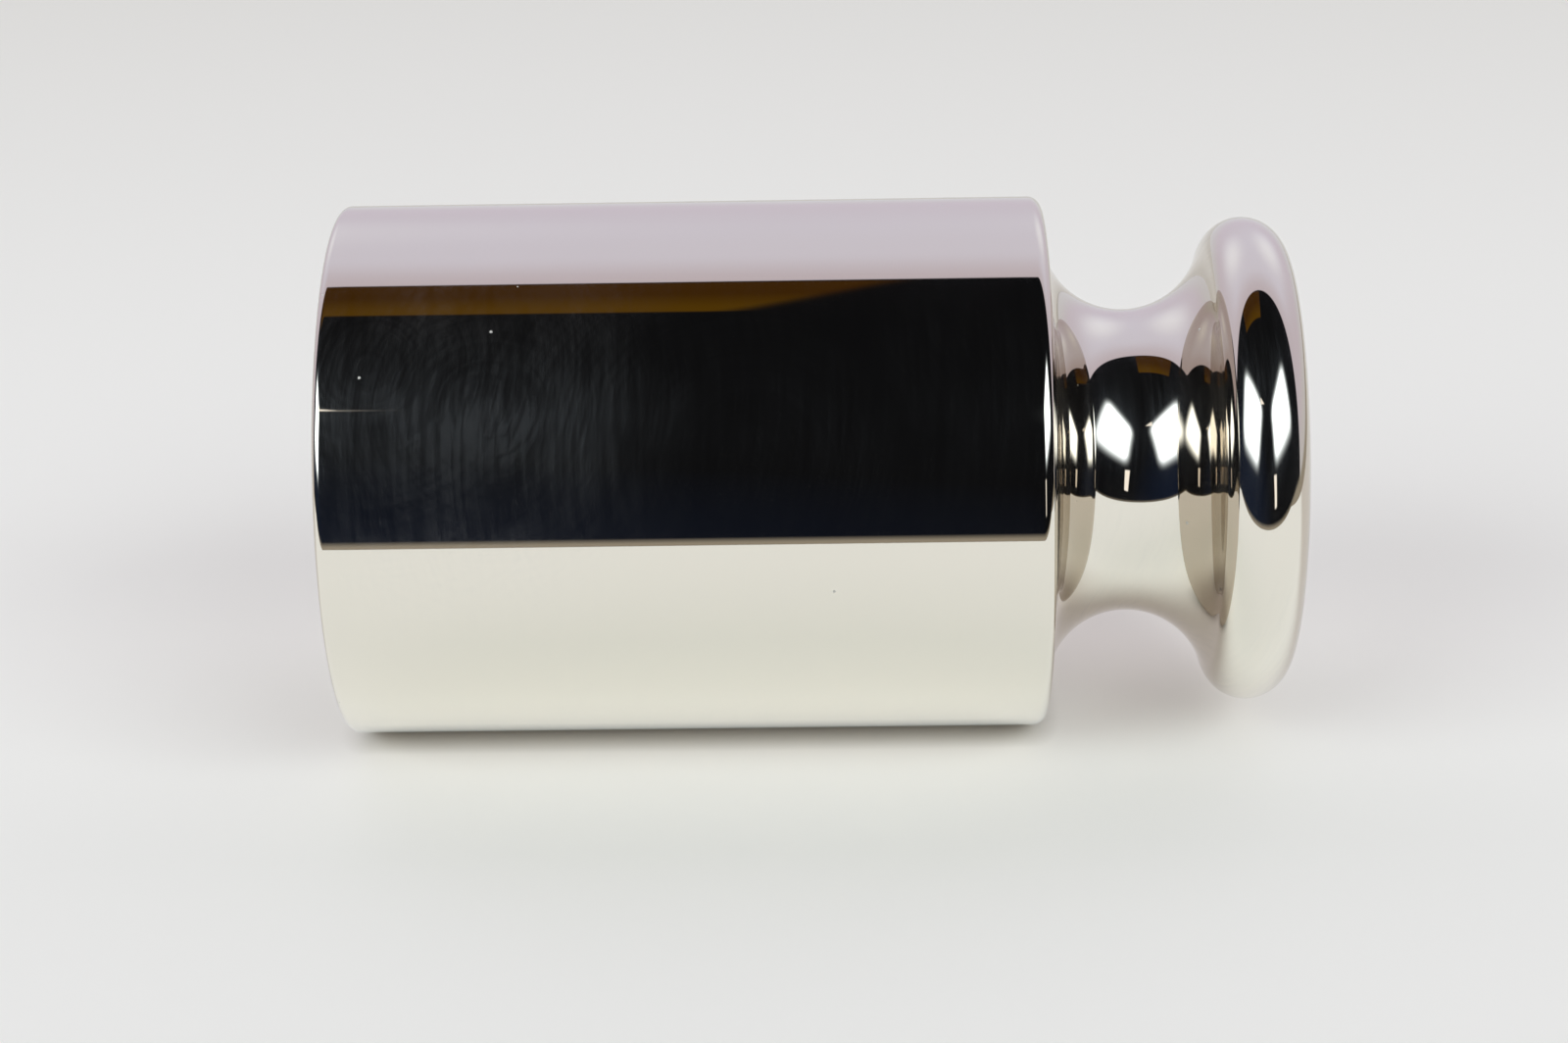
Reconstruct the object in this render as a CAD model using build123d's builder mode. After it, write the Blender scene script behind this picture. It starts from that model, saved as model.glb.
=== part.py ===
"""Calibration weight of nominal 5 kg: one bar of stainless steel, turned and polished.

The weight stands on its base, +Z up along its axis, with the origin at the centre of the base.
A plain cylinder carries a lifting knob on a neck, which one round groove cuts out of the bar.
Body face, groove, rim and dome run into each other tangentially, so the whole outline is lines
and arcs, and the only solid is that outline turned about Z. All sizes are millimetres.
"""
import os
from math import asin, degrees, sqrt

from build123d import *

# body
body_diameter = 80.0
body_height = 105.0
base_edge_radius = 1.3
shoulder_radius = 2.0

# shallow recess turned into the base, which leaves a ring to stand on
foot_ring_width = 9.0
recess_depth = 1.0

# groove between the body and the knob: one arc whose bottom is the neck, and which leaves
# this ring of the body's top face round it
neck_diameter = 45.6
top_face_width = 4.9

# knob: a round rim, closed by a slightly domed top
knob_diameter = 72.9
rim_radius = 6.3
dome_radius = 190.0

# the groove starts flat on the body's top face, so its centre stands one radius above it
groove_centre_x = body_diameter / 2 - top_face_width
groove_radius = groove_centre_x - neck_diameter / 2
groove_centre_z = body_height + groove_radius

# the rim touches the groove from outside: their centres are one radius plus the other apart
rim_centre_x = knob_diameter / 2 - rim_radius
groove_to_rim_x = groove_centre_x - rim_centre_x
groove_to_rim_z = sqrt((groove_radius + rim_radius) ** 2 - groove_to_rim_x**2)
rim_centre_z = groove_centre_z + groove_to_rim_z
undercut_angle = degrees(asin(groove_to_rim_x / (groove_radius + rim_radius)))

# the dome wraps the rim from outside: their centres are one radius less the other apart
dome_slope = degrees(asin(rim_centre_x / (dome_radius - rim_radius)))
dome_centre_z = rim_centre_z - sqrt((dome_radius - rim_radius) ** 2 - rim_centre_x**2)
overall_height = dome_centre_z + dome_radius

recess_radius = body_diameter / 2 - foot_ring_width

with BuildPart() as weight:
    with BuildSketch(Plane.XZ):
        with BuildLine():
            base = Polyline(
                (0, recess_depth),
                (recess_radius, recess_depth),
                (recess_radius, 0),
                (body_diameter / 2, 0),
                (body_diameter / 2, body_height),
                (groove_centre_x, body_height),
            )
            groove = CenterArc(
                (groove_centre_x, groove_centre_z),
                groove_radius,
                start_angle=270,
                arc_size=-(180 - undercut_angle),
            )
            rim = CenterArc(
                (rim_centre_x, rim_centre_z),
                rim_radius,
                start_angle=undercut_angle - 90,
                arc_size=180 - undercut_angle - dome_slope,
            )
            dome = CenterArc(
                (0, dome_centre_z),
                dome_radius,
                start_angle=90 - dome_slope,
                arc_size=dome_slope,
            )
            Line(dome @ 1, base @ 0)
        make_face()
    revolve(axis=Axis.Z)

    foot_ring, recess_floor, top_ring = weight.faces().filter_by(Plane.XY).sort_by(Axis.Z)
    fillet(foot_ring.outer_wire().edges(), base_edge_radius)
    fillet(top_ring.outer_wire().edges(), shoulder_radius)

weight.part.label = "weight"

os.makedirs("parts", exist_ok=True)
export_step(weight.part, "parts/weight.step")
print(f"overall height {overall_height:.2f} mm, volume {weight.part.volume / 1000:.2f} cm3")
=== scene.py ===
"""Calibration weight of polished stainless steel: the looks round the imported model.

The weight stands on its base along +Z. It is shown as it is laid down to be checked: its side
rests on a pale bench, so the bench is the upright plane x = +radius, whose normal is -X. In the
bench's own terms -X is up, -Y is near and +Z is right, and the camera is rolled to match.
"""
from math import asin, cos, degrees, radians, sin, sqrt

import bmesh
import bpy
from mathutils import Matrix, Vector


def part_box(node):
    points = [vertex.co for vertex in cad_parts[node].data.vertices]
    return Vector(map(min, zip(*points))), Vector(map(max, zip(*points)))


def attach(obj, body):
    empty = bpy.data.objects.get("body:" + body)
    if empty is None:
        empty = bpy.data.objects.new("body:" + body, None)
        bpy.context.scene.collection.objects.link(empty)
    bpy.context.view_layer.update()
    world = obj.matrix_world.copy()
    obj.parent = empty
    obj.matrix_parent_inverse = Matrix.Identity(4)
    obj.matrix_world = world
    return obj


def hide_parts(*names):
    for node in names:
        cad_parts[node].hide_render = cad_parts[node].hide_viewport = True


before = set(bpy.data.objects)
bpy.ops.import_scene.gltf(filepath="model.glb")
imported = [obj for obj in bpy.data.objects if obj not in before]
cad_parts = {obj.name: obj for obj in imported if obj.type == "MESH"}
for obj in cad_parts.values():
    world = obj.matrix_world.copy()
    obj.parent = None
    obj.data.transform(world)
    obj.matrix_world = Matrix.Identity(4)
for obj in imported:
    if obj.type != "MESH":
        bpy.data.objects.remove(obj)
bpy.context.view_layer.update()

MM = 0.001

# the weight's outline, in millimetres
BASE_EDGE_RADIUS = 1.3
SHOULDER_RADIUS = 2.0
TOP_FACE_WIDTH = 4.9
FOOT_RING_WIDTH = 9.0
RECESS_DEPTH = 1.0
NECK_DIAMETER = 45.6
KNOB_DIAMETER = 72.9
RIM_RADIUS = 6.3
DOME_RADIUS = 190.0
BODY_HEIGHT = 105.0
low_corner, high_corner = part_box("weight")
BODY_DIAMETER = (high_corner[0] - low_corner[0]) / MM
BODY_RADIUS = BODY_DIAMETER / 2

# how finely the outline is turned, and how close together points are merged
TURN_STEPS = 256
ARC_STEP_DEGREES = 3.0
MERGE_DISTANCE = 0.002
# narrow strips beside the recess's corners, which keep its flats flat in shading
GUARD_WIDTH = 0.25
# polishing has rolled the side's two ends: over this width the shading turns by nearly a degree
ROLLED_WIDTH = 2.5


# ---------------------------------------------------------------- small tools

def srgb(hex_colour, level=1.0):
    """A hex colour as linear RGBA. A level other than 1 makes it a brighter or dimmer light."""
    channels = [int(hex_colour[i:i + 2], 16) / 255 for i in (1, 3, 5)]
    linear = [c / 12.92 if c <= 0.04045 else ((c + 0.055) / 1.055) ** 2.4 for c in channels]
    return [c * level for c in linear] + [1.0]


def node(tree, kind, inputs=None, **settings):
    """Adds a node. inputs maps a socket's name or number to a value, or to an output to link."""
    new = tree.nodes.new(kind)
    for name, value in settings.items():
        setattr(new, name, value)
    for key, value in (inputs or {}).items():
        if isinstance(value, bpy.types.NodeSocket):
            tree.links.new(value, new.inputs[key])
        else:
            new.inputs[key].default_value = value
    return new


def add_object(name, bm):
    """Makes an object at the origin from a bmesh, shaded smooth."""
    mesh = bpy.data.meshes.new(name)
    bm.to_mesh(mesh)
    bm.free()
    obj = bpy.data.objects.new(name, mesh)
    bpy.context.scene.collection.objects.link(obj)
    mesh.shade_smooth()
    return obj


# ---------------------------------------------------------------- the weight's shape

def line_to(bm, vert, x, z):
    """Draws the outline on to a point of the XZ plane, given in millimetres."""
    new = bmesh.ops.extrude_vert_indiv(bm, verts=[vert])["verts"][0]
    new.co = Vector((x, 0, z)) * MM
    return new


def arc_on(bm, vert, centre, turn, fewest=8):
    """Turns the outline's end about a centre, by degrees anticlockwise as seen from -Y."""
    steps = max(fewest, round(abs(turn) / ARC_STEP_DEGREES))
    geom = bmesh.ops.spin(
        bm, geom=[vert], cent=Vector((centre[0], 0, centre[1])) * MM,
        axis=(0, -1, 0), angle=radians(turn), steps=steps,
    )["geom_last"]
    return next(item for item in geom if isinstance(item, bmesh.types.BMVert))


def draw_outline(bm):
    """The half outline, from the middle of the base to the middle of the knob's dome."""
    recess_radius = BODY_RADIUS - FOOT_RING_WIDTH
    groove_x = BODY_RADIUS - TOP_FACE_WIDTH
    groove_radius = groove_x - NECK_DIAMETER / 2
    groove_z = BODY_HEIGHT + groove_radius
    rim_x = KNOB_DIAMETER / 2 - RIM_RADIUS
    reach = groove_radius + RIM_RADIUS
    rim_z = groove_z + sqrt(reach**2 - (groove_x - rim_x) ** 2)
    undercut = degrees(asin((groove_x - rim_x) / reach))
    dome_slope = degrees(asin(rim_x / (DOME_RADIUS - RIM_RADIUS)))
    dome_z = rim_z - sqrt((DOME_RADIUS - RIM_RADIUS) ** 2 - rim_x**2)

    end = bm.verts.new(Vector((0, 0, RECESS_DEPTH)) * MM)
    for x, z in (
        (recess_radius - GUARD_WIDTH, RECESS_DEPTH),
        (recess_radius, RECESS_DEPTH),
        (recess_radius, RECESS_DEPTH - GUARD_WIDTH),
        (recess_radius, GUARD_WIDTH),
        (recess_radius, 0),
        (recess_radius + GUARD_WIDTH, 0),
        (BODY_RADIUS - BASE_EDGE_RADIUS - GUARD_WIDTH, 0),
        (BODY_RADIUS - BASE_EDGE_RADIUS, 0),
    ):
        end = line_to(bm, end, x, z)
    end = arc_on(bm, end, (BODY_RADIUS - BASE_EDGE_RADIUS, BASE_EDGE_RADIUS), 90)
    end = line_to(bm, end, BODY_RADIUS, BASE_EDGE_RADIUS + ROLLED_WIDTH)
    end = line_to(bm, end, BODY_RADIUS, BODY_HEIGHT - SHOULDER_RADIUS - ROLLED_WIDTH)
    end = line_to(bm, end, BODY_RADIUS, BODY_HEIGHT - SHOULDER_RADIUS)
    end = arc_on(bm, end, (BODY_RADIUS - SHOULDER_RADIUS, BODY_HEIGHT - SHOULDER_RADIUS), 90)
    end = line_to(bm, end, groove_x, BODY_HEIGHT)
    end = arc_on(bm, end, (groove_x, groove_z), undercut - 180)
    end = arc_on(bm, end, (rim_x, rim_z), 180 - undercut - dome_slope)
    arc_on(bm, end, (0, dome_z), dome_slope, fewest=16)


def turn_weight():
    """Turns the outline about Z into one closed skin."""
    bm = bmesh.new()
    draw_outline(bm)
    bmesh.ops.spin(
        bm, geom=bm.verts[:] + bm.edges[:], cent=(0, 0, 0), axis=(0, 0, 1),
        angle=radians(360), steps=TURN_STEPS, use_merge=True,
    )
    bmesh.ops.remove_doubles(bm, verts=bm.verts[:], dist=MERGE_DISTANCE * MM)
    bmesh.ops.recalc_face_normals(bm, faces=bm.faces[:])
    return add_object("weight_turned", bm)


# ---------------------------------------------------------------- its finish

STEEL_COLOUR = srgb("#d0c7ba")
POLISH_ROUGHNESS = 0.03

# the film: strongest in the middle of a patch, thinner in the groove and elsewhere
FILM_MIDDLE = (-20.0, -34.5, 20.0)
FILM_REACH = 39.0
FILM_ELSEWHERE = 0.06
FILM_IN_GROOVE = 0.25
GROOVE_FILM_RISE = 6.0
FILM_ROUGHNESS = 0.33
CLOUD_WIDTH = 12.0
# the cloth's strokes and the polishing lines are finer on the real thing: drawn to show
STROKE_SPACING = 0.45
STROKE_MIDDLES = ((-21.0, -34.0, 25.0), (-26.0, -30.5, 8.0), (-14.0, -37.5, 62.0))
LINE_SPACING = 1.1
LINES_PER_METRE_ROUND = 60

DUST_CELL = 5.0
DUST_RADIUS = 0.22
DUSTY_SHARE = 0.25


def polished_stainless():
    """Austenitic stainless steel, turned, then buffed and lapped to a mirror. It shows its
    surroundings sharply, darker and warmer with each reflection. Wiping has left a thin bluish
    film, in strokes, most of it near the base and in the groove, where the cloth turns. Faint
    polishing lines run round the weight, and a few grains of dust lie on it."""
    material = bpy.data.materials.new("polished_stainless_steel")
    material.use_nodes = True
    tree = material.node_tree
    tree.nodes.clear()
    place = node(tree, "ShaderNodeTexCoord").outputs["Object"]

    # how much film there is: a patch on the near side, and the groove and knob
    away = node(tree, "ShaderNodeVectorMath", {0: place, 1: Vector(FILM_MIDDLE) * MM},
                operation="DISTANCE")
    patch = node(tree, "ShaderNodeMapRange", {
        "Value": away.outputs["Value"], "From Max": FILM_REACH * MM, "To Min": 1.0,
        "To Max": FILM_ELSEWHERE,
    }, interpolation_type="SMOOTHSTEP")
    height = node(tree, "ShaderNodeSeparateXYZ", {0: place}).outputs["Z"]
    groove = node(tree, "ShaderNodeMapRange", {
        "Value": height, "From Min": BODY_HEIGHT * MM,
        "From Max": (BODY_HEIGHT + GROOVE_FILM_RISE) * MM, "To Max": FILM_IN_GROOVE,
    })
    film = node(tree, "ShaderNodeMath", {0: patch.outputs[0], 1: groove.outputs[0]},
                operation="MAXIMUM").outputs[0]

    # cloudy, then in strokes round three places where the cloth turned
    clouds = node(tree, "ShaderNodeTexNoise", {
        "Vector": place, "Scale": 1 / (CLOUD_WIDTH * MM), "Detail": 3.0,
    })
    patterns = [(clouds.outputs["Fac"], 0.3, 0.7, 0.3)]
    for middle in STROKE_MIDDLES:
        turn = node(tree, "ShaderNodeVectorMath", {0: place, 1: Vector(middle) * MM},
                    operation="DISTANCE")
        across = node(tree, "ShaderNodeMath", {
            0: turn.outputs["Value"], 1: CLOUD_WIDTH / STROKE_SPACING,
        }, operation="MULTIPLY")
        strokes = node(tree, "ShaderNodeTexNoise", {
            "Vector": place, "W": across.outputs[0], "Scale": 1 / (CLOUD_WIDTH * MM), "Detail": 1.0,
        }, noise_dimensions="4D")
        patterns.append((strokes.outputs["Fac"], 0.35, 0.65, 0.6))
    # polishing lines: long round the axis, short along it
    round_axis = node(tree, "ShaderNodeMapping", {
        "Vector": place,
        "Scale": (LINES_PER_METRE_ROUND, LINES_PER_METRE_ROUND, 1 / (LINE_SPACING * MM)),
    })
    lines = node(tree, "ShaderNodeTexNoise", {
        "Vector": round_axis.outputs[0], "Scale": 1.0, "Detail": 3.0,
    })
    patterns.append((lines.outputs["Fac"], 0.35, 0.65, 0.5))
    for pattern, low, high, least in patterns:
        share = node(tree, "ShaderNodeMapRange", {
            "Value": pattern, "From Min": low, "From Max": high, "To Min": least, "To Max": 1.0,
        })
        film = node(tree, "ShaderNodeMath", {0: film, 1: share.outputs[0]},
                    operation="MULTIPLY").outputs[0]

    # dust: grains in a few of the cells, each cut by the surface to its own size
    cells = node(tree, "ShaderNodeTexVoronoi", {"Vector": place, "Scale": 1 / (DUST_CELL * MM)})
    grain = node(tree, "ShaderNodeMath", {
        0: cells.outputs["Distance"], 1: DUST_RADIUS / DUST_CELL,
    }, operation="LESS_THAN")
    chance = node(tree, "ShaderNodeSeparateColor", {0: cells.outputs["Color"]})
    dusty = node(tree, "ShaderNodeMath", {0: chance.outputs[0], 1: DUSTY_SHARE},
                 operation="LESS_THAN")
    dust = node(tree, "ShaderNodeMath", {0: grain.outputs[0], 1: dusty.outputs[0]},
                operation="MULTIPLY")

    # film and dust scatter light, so the surface is that much less a mirror, and the film is a
    # thin rough coat as well, which glows round a bright light
    bare = node(tree, "ShaderNodeMapRange", {"Value": film, "To Min": 0.999, "To Max": 0.96})
    mirror = node(tree, "ShaderNodeMath", {0: bare.outputs[0], 1: dust.outputs[0]},
                  operation="SUBTRACT", use_clamp=True)
    coat = node(tree, "ShaderNodeMapRange", {"Value": film, "From Max": 0.27})
    shader = node(tree, "ShaderNodeBsdfPrincipled", {
        "Metallic": mirror.outputs[0],
        "Base Color": STEEL_COLOUR,
        "Roughness": POLISH_ROUGHNESS,
        "Coat Weight": coat.outputs[0],
        "Coat Roughness": FILM_ROUGHNESS,
    })
    node(tree, "ShaderNodeOutputMaterial", {"Surface": shader.outputs[0]})
    return material


# ---------------------------------------------------------------- camera

VIEW_ELEVATION = 20.5
PICTURE_WIDTH = 1600
FOCAL_PIXELS = 3395.3
SENSOR_WIDTH = 36.0
CAMERA_DISTANCE = 506.25
AIM_HEIGHT = 65.89
AIM_ABOVE_CENTRE = 8.75
AXIS_RISE = 0.741
KNOB_NEARER = 0.975


def add_camera():
    """Looks across the axis, from above the bench, with the knob to the right."""
    around = radians(VIEW_ELEVATION)
    right = Vector((0, 0, 1))
    back = Vector((-sin(around), -cos(around), 0))
    up = back.cross(right)
    level = Matrix((right, up, back)).transposed()
    turn = Matrix.Rotation(radians(-AXIS_RISE), 3, "Z") @ Matrix.Rotation(radians(KNOB_NEARER), 3, "Y")
    pose = level @ turn
    aim = Vector((0, 0, AIM_HEIGHT * MM))
    place = aim + pose @ (Vector((0, -AIM_ABOVE_CENTRE, CAMERA_DISTANCE)) * MM)
    data = bpy.data.cameras.new("camera")
    data.sensor_width = SENSOR_WIDTH
    data.lens = SENSOR_WIDTH * FOCAL_PIXELS / PICTURE_WIDTH
    data.clip_start = 0.01
    camera = bpy.data.objects.new("camera", data)
    camera.matrix_world = Matrix.Translation(place) @ pose.to_4x4()
    bpy.context.scene.collection.objects.link(camera)
    bpy.context.scene.camera = camera


# ---------------------------------------------------------------- bench and surroundings

BENCH_NEAR_EDGE = 200.0
BENCH_FAR_EDGE = 1500.0
BENCH_HALF_LENGTH = 420.0
# the foam's colour, and a greyer painted shade that it fades to between these distances behind the
# weight, where less light falls
BENCH_COLOUR = srgb("#ddd5c8")
BENCH_FAR_PAINTED_SHADE = srgb("#c4bbad")
BENCH_SHADE_FADE = (100.0, 700.0)
# a painted glow that lifts the foam's shadows in place of light spread inside it, and how far from a
# contact it is back to its full strength; closer in, an occlusion mask paints shade
BENCH_PAINTED_GLOW = 0.25
PAINTED_GLOW_CLEARANCE = 3.5
# a painted reflection: a glow that only the polish sees, on top of that, all of it nearer than the
# first of these places across
# # the bench, measured from the weight's axis, and none past the second
BENCH_PAINTED_REFLECTION = srgb("#ddf3ff", 0.49)
BENCH_PAINTED_REFLECTION_ENDS = (-30.0, 0.0)

BACKDROP_COLOUR = srgb("#e2e0dd")
GROUND_COLOUR = srgb("#aaa497")

# the canopy: its front edge in degrees up and over from the near horizon, its cloth in the
# open and in its shaded parts, and its foot, where it meets the bench
CANOPY_EDGE = 104.5
CANOPY_COLOUR = srgb("#e7e8ff", 1.11)
CANOPY_SHADE = srgb("#f3ecff", 0.85)
CANOPY_FOOT = srgb("#e0e1e8")
CANOPY_LAMP = srgb("#ebefff", 1.32)
LAMPS = ((-152, 33), (153, 33))
LAMP_REACH = 24.0

# the room in front of it, nearly black, and bluer round one direction
ROOM_COLOUR = srgb("#101114")
ROOM_BLUE = srgb("#162036")
ROOM_BLUE_MIDDLE = (-50, -20)
BEAM_COLOUR = srgb("#5e4308")
BEAM_SHADE = srgb("#472d08")
BEAM = ((-88.6, 54.5), (-40.6, 87.4), (180, 84), (175, 76), (-111, 51.5))
BEAM_SOFTNESS = 0.012

# its openings: corners as bearing and elevation, the light in them, how soft their sides are
WINDOW_LIGHT = srgb("#e4f3ff", 5.6)
GAP_LIGHT = srgb("#fffdf8", 1.4)
DOORWAY_LIGHT = srgb("#fffdf8", 1.5)
OPENINGS = (
    # the left window, and the gap by its inner corner
    (((-76, 41), (-66, 45), (-48, 47.5), (-30, 47), (-18, 43), (-28, 13), (-70, 13.5)),
     WINDOW_LIGHT, 0.12),
    (((-24, 45.6), (-11, 43.8), (-24, 42.0)), GAP_LIGHT, 0.006),
    # the right window, and the doorway below it
    (((10, 44), (26, 49), (45, 52), (66, 51), (69, 19), (17, 16.5)), WINDOW_LIGHT, 0.12),
    (((13, 11), (20, 11), (20.5, -4), (15.5, -5)), DOORWAY_LIGHT, 0.01),
)


def add_bench():
    """A pale bench of foam board, seen and reflected from its upper side only. A painted glow lifts
    its shadows, and its near part has a painted reflection, a glow for the polish only, so it shows
    brighter in the polish than it looks from above."""
    bm = bmesh.new()
    bmesh.ops.create_grid(bm, x_segments=1, y_segments=1, size=1.0)
    corners = {
        (-1, -1): (-BENCH_NEAR_EDGE, -BENCH_HALF_LENGTH),
        (1, -1): (-BENCH_NEAR_EDGE, BENCH_HALF_LENGTH),
        (-1, 1): (BENCH_FAR_EDGE, -BENCH_HALF_LENGTH),
        (1, 1): (BENCH_FAR_EDGE, BENCH_HALF_LENGTH),
    }
    for vert in bm.verts:
        y, z = corners[(round(vert.co.x), round(vert.co.y))]
        vert.co = Vector((BODY_RADIUS, y, z)) * MM
    bmesh.ops.recalc_face_normals(bm, faces=bm.faces[:])
    for face in bm.faces:
        face.normal_update()
        if face.normal.x > 0:
            face.normal_flip()
    bench = add_object("bench", bm)
    material = bpy.data.materials.new("pale_foam_board")
    material.use_nodes = True
    tree = material.node_tree
    tree.nodes.clear()
    place = node(tree, "ShaderNodeTexCoord").outputs["Object"]
    split = node(tree, "ShaderNodeSeparateXYZ", {0: place})
    # painted shade: the foam's colour greys with distance behind the weight
    far_shade = node(tree, "ShaderNodeMapRange", {
        "Value": split.outputs["Y"], "From Min": BENCH_SHADE_FADE[0] * MM, "From Max": BENCH_SHADE_FADE[1] * MM,
    })
    colour = node(tree, "ShaderNodeMix", {0: far_shade.outputs[0], 6: BENCH_COLOUR, 7: BENCH_FAR_PAINTED_SHADE},
                  data_type="RGBA")
    board = node(tree, "ShaderNodeBsdfDiffuse", {"Color": colour.outputs[2]})

    # painted glow, seen by the camera and the polish only, fills the foam's shadows, all but those
    # close to a contact, where an occlusion mask paints shade
    path = node(tree, "ShaderNodeLightPath")
    looked_at = node(tree, "ShaderNodeMath", {
        0: path.outputs["Is Camera Ray"], 1: path.outputs["Is Glossy Ray"],
    }, operation="MAXIMUM")
    painted_glow_mask = node(tree, "ShaderNodeAmbientOcclusion", {"Distance": PAINTED_GLOW_CLEARANCE * MM},
                    samples=8)
    glow = node(tree, "ShaderNodeMath", {0: painted_glow_mask.outputs["AO"], 1: looked_at.outputs[0]},
                operation="MULTIPLY")
    glow = node(tree, "ShaderNodeMath", {0: glow.outputs[0], 1: BENCH_PAINTED_GLOW}, operation="MULTIPLY")
    glow = node(tree, "ShaderNodeEmission", {"Strength": glow.outputs[0]})

    # painted reflection: the near part glows for glossy rays only
    near = node(tree, "ShaderNodeMapRange", {
        "Value": split.outputs["Y"], "From Min": BENCH_PAINTED_REFLECTION_ENDS[0] * MM,
        "From Max": BENCH_PAINTED_REFLECTION_ENDS[1] * MM, "To Min": 1.0, "To Max": 0.0,
    }, interpolation_type="SMOOTHSTEP")
    strength = node(tree, "ShaderNodeMath", {0: near.outputs[0], 1: path.outputs["Is Glossy Ray"]},
                    operation="MULTIPLY")
    shine = node(tree, "ShaderNodeEmission", {"Color": BENCH_PAINTED_REFLECTION, "Strength": strength.outputs[0]})
    lit = node(tree, "ShaderNodeAddShader", {0: board.outputs[0], 1: glow.outputs[0]})
    lit = node(tree, "ShaderNodeAddShader", {0: lit.outputs[0], 1: shine.outputs[0]})
    clear = node(tree, "ShaderNodeBsdfTransparent")
    side = node(tree, "ShaderNodeNewGeometry").outputs["Backfacing"]
    mix = node(tree, "ShaderNodeMixShader", {0: side, 1: lit.outputs[0], 2: clear.outputs[0]})
    node(tree, "ShaderNodeOutputMaterial", {"Surface": mix.outputs[0]})
    bench.data.materials.append(material)


def towards(bearing, elevation):
    """A direction from the weight, in degrees: bearing from near towards the knob, elevation
    above the bench."""
    level = cos(radians(elevation))
    return Vector((
        -sin(radians(elevation)),
        -cos(radians(bearing)) * level,
        sin(radians(bearing)) * level,
    ))


def patch_of_room(tree, ray, corners, softness):
    """1 where the ray leaves between these directions, falling to 0 softly across each side."""
    corners = [towards(*corner) for corner in corners]
    middle = sum(corners, Vector())
    inside = 1.0
    for first, second in zip(corners, corners[1:] + corners[:1]):
        inward = first.cross(second).normalized()
        if inward.dot(middle) < 0:
            inward.negate()
        depth = node(tree, "ShaderNodeVectorMath", {0: ray, 1: inward}, operation="DOT_PRODUCT")
        side = node(tree, "ShaderNodeMapRange", {
            "Value": depth.outputs["Value"], "From Min": -softness, "From Max": softness,
        }, interpolation_type="SMOOTHSTEP")
        inside = node(tree, "ShaderNodeMath", {0: inside, 1: side.outputs[0]},
                      operation="MULTIPLY").outputs[0]
    return node(tree, "ShaderNodeMath", {0: inside, 1: 2.0}, operation="POWER").outputs[0]


def canopy_cloth(tree, ray, split, behind):
    """The canopy's colour in each direction."""
    # greyer by its front edge, at its sides and low down
    sideways = node(tree, "ShaderNodeMath", {0: split.outputs["Z"]}, operation="ABSOLUTE")
    open_cloth = 1.0
    for value, shaded, lit in (
        (behind.outputs["Value"], 0.0, 0.3),
        (split.outputs["X"], -0.05, -0.7),
        (sideways.outputs[0], 0.95, 0.6),
    ):
        share = node(tree, "ShaderNodeMapRange", {
            "Value": value, "From Min": shaded, "From Max": lit,
        }, interpolation_type="SMOOTHSTEP")
        open_cloth = node(tree, "ShaderNodeMath", {0: open_cloth, 1: share.outputs[0]},
                          operation="MULTIPLY").outputs[0]
    cloth = node(tree, "ShaderNodeMix", {0: open_cloth, 6: CANOPY_SHADE, 7: CANOPY_COLOUR},
                 data_type="RGBA").outputs[2]

    # two lamps shine through it
    for lamp in LAMPS:
        close = node(tree, "ShaderNodeVectorMath", {0: ray, 1: towards(*lamp)},
                     operation="DOT_PRODUCT")
        glow = node(tree, "ShaderNodeMapRange", {
            "Value": close.outputs["Value"], "From Min": cos(radians(LAMP_REACH)), "From Max": 1.0,
        })
        glow = node(tree, "ShaderNodeMath", {0: glow.outputs[0], 1: 3.0}, operation="POWER")
        cloth = node(tree, "ShaderNodeMix", {0: glow.outputs[0], 6: cloth, 7: CANOPY_LAMP},
                     data_type="RGBA").outputs[2]

    # it curves on to the bench in one sweep
    foot = node(tree, "ShaderNodeMapRange", {
        "Value": split.outputs["X"], "From Min": -0.2, "From Max": 0.05,
    }, interpolation_type="SMOOTHSTEP")
    return node(tree, "ShaderNodeMix", {0: foot.outputs[0], 6: cloth, 7: CANOPY_FOOT},
                data_type="RGBA").outputs[2]


def dark_room(tree, ray, behind):
    """The room's colour in each direction, with a wooden beam overhead."""
    near_blue = node(tree, "ShaderNodeVectorMath", {0: ray, 1: towards(*ROOM_BLUE_MIDDLE)},
                     operation="DOT_PRODUCT")
    blue = node(tree, "ShaderNodeMapRange", {
        "Value": near_blue.outputs["Value"], "From Min": 0.5, "From Max": 1.0,
    })
    room = node(tree, "ShaderNodeMix", {0: blue.outputs[0], 6: ROOM_COLOUR, 7: ROOM_BLUE},
                data_type="RGBA").outputs[2]
    shaded = node(tree, "ShaderNodeMapRange", {
        "Value": behind.outputs["Value"], "From Min": -0.24, "From Max": -0.12,
    })
    wood = node(tree, "ShaderNodeMix", {0: shaded.outputs[0], 6: BEAM_COLOUR, 7: BEAM_SHADE},
                data_type="RGBA")
    beam = patch_of_room(tree, ray, BEAM, BEAM_SOFTNESS)
    return node(tree, "ShaderNodeMix", {0: beam, 6: room, 7: wood.outputs[2]},
                data_type="RGBA").outputs[2]


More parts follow.
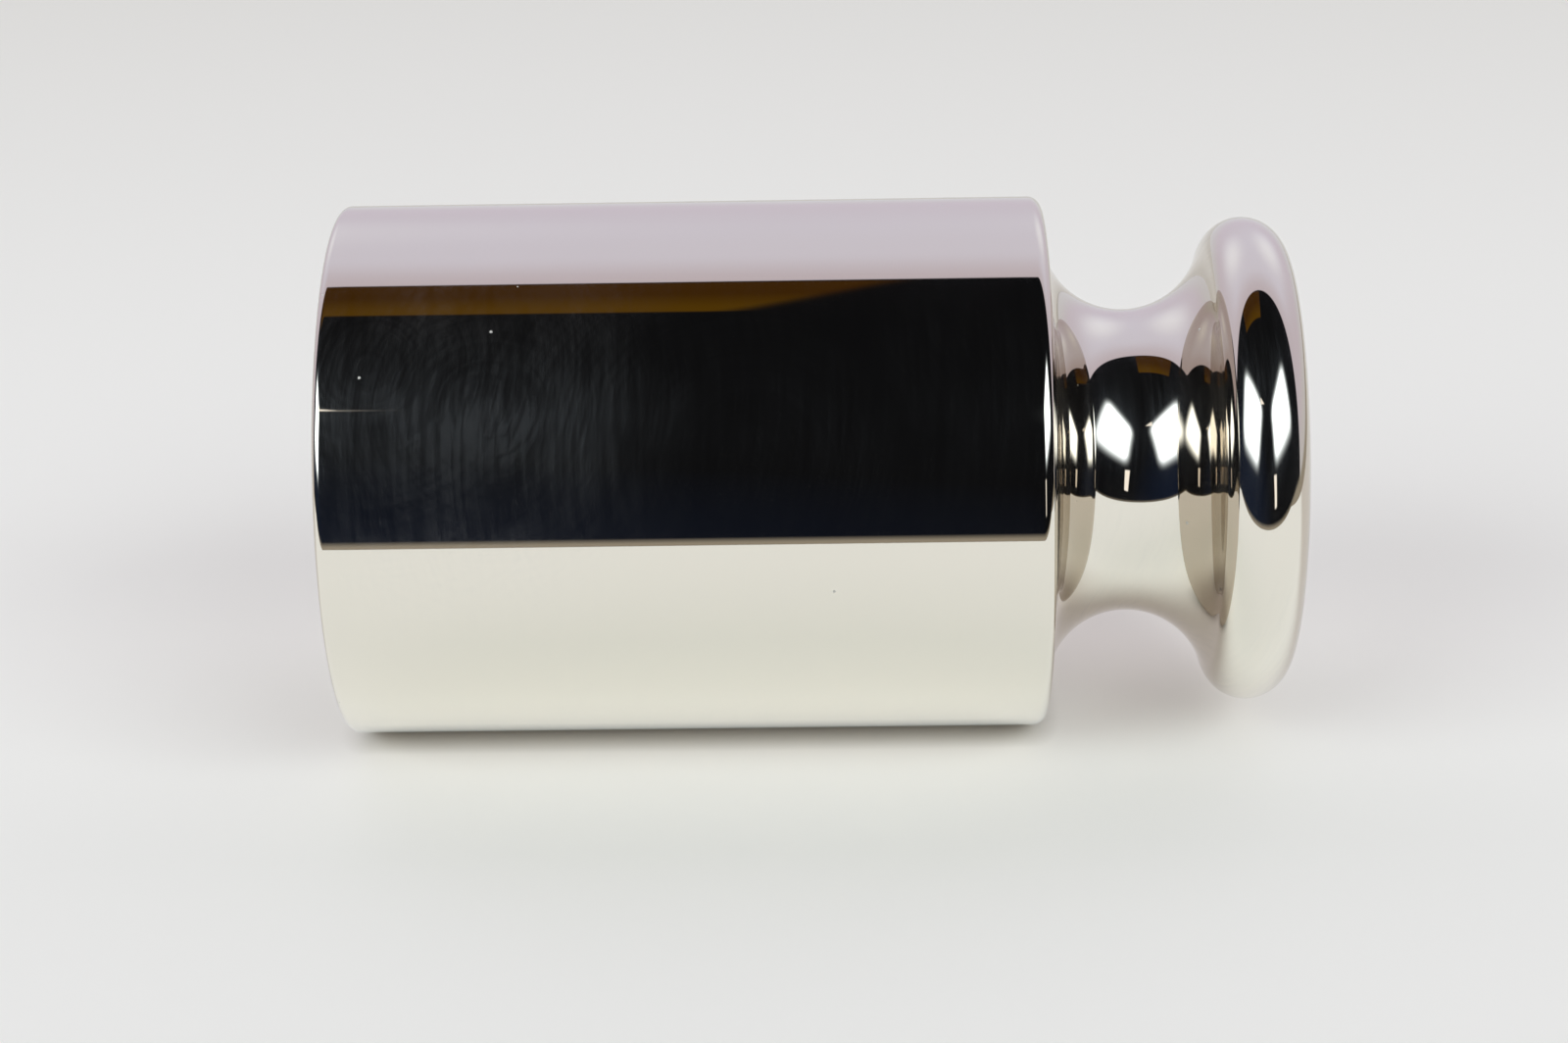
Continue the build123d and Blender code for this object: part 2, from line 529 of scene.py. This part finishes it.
def ground_share(tree, ray):
    """1 where the ray leaves low enough to meet the ground past the ends of the bench, which
    is up to the line of its near edge."""
    ground = 1.0
    for inward, depth in (((1, 0, 0), 0.08), (Vector((5, 1, 0)).normalized(), 0.02)):
        inside = node(tree, "ShaderNodeVectorMath", {0: ray, 1: inward}, operation="DOT_PRODUCT")
        inside = node(tree, "ShaderNodeMapRange", {
            "Value": inside.outputs["Value"], "From Min": depth - 0.02, "From Max": depth + 0.02,
        })
        ground = node(tree, "ShaderNodeMath", {0: ground, 1: inside.outputs[0]},
                      operation="MULTIPLY").outputs[0]
    return ground


def add_surroundings():
    """A studio round the bench: a pale canopy behind and overhead, and in front of it a dark
    room with two windows. It lights the weight and shows in the polish. The camera sees a
    pale backdrop instead."""
    world = bpy.data.worlds.new("studio")
    bpy.context.scene.world = world
    world.use_nodes = True
    tree = world.node_tree
    tree.nodes.clear()
    ray = node(tree, "ShaderNodeTexCoord").outputs["Generated"]
    split = node(tree, "ShaderNodeSeparateXYZ", {0: ray})
    edge = radians(CANOPY_EDGE)
    behind = node(tree, "ShaderNodeVectorMath", {0: ray, 1: (-cos(edge), sin(edge), 0)},
                  operation="DOT_PRODUCT")
    canopy = node(tree, "ShaderNodeMapRange", {
        "Value": behind.outputs["Value"], "From Min": -0.004, "From Max": 0.004,
    })
    shown = node(tree, "ShaderNodeMix", {
        0: canopy.outputs[0], 6: dark_room(tree, ray, behind),
        7: canopy_cloth(tree, ray, split, behind),
    }, data_type="RGBA").outputs[2]
    shown = node(tree, "ShaderNodeMix", {0: ground_share(tree, ray), 6: shown, 7: GROUND_COLOUR},
                 data_type="RGBA").outputs[2]
    for corners, light, softness in OPENINGS:
        opening = patch_of_room(tree, ray, corners, softness)
        shown = node(tree, "ShaderNodeMix", {0: opening, 6: shown, 7: light},
                     data_type="RGBA").outputs[2]

    path = node(tree, "ShaderNodeLightPath")
    seen = node(tree, "ShaderNodeMix", {
        0: path.outputs["Is Camera Ray"], 6: shown, 7: BACKDROP_COLOUR,
    }, data_type="RGBA")
    background = node(tree, "ShaderNodeBackground", {"Color": seen.outputs[2], "Strength": 1.0})
    node(tree, "ShaderNodeOutputWorld", {"Surface": background.outputs[0]})


# ---------------------------------------------------------------- the scene

weight = turn_weight()
weight.data.materials.append(polished_stainless())
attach(weight, "root")
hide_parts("weight")

add_camera()
add_bench()
add_surroundings()
bpy.context.scene.view_settings.view_transform = "Standard"
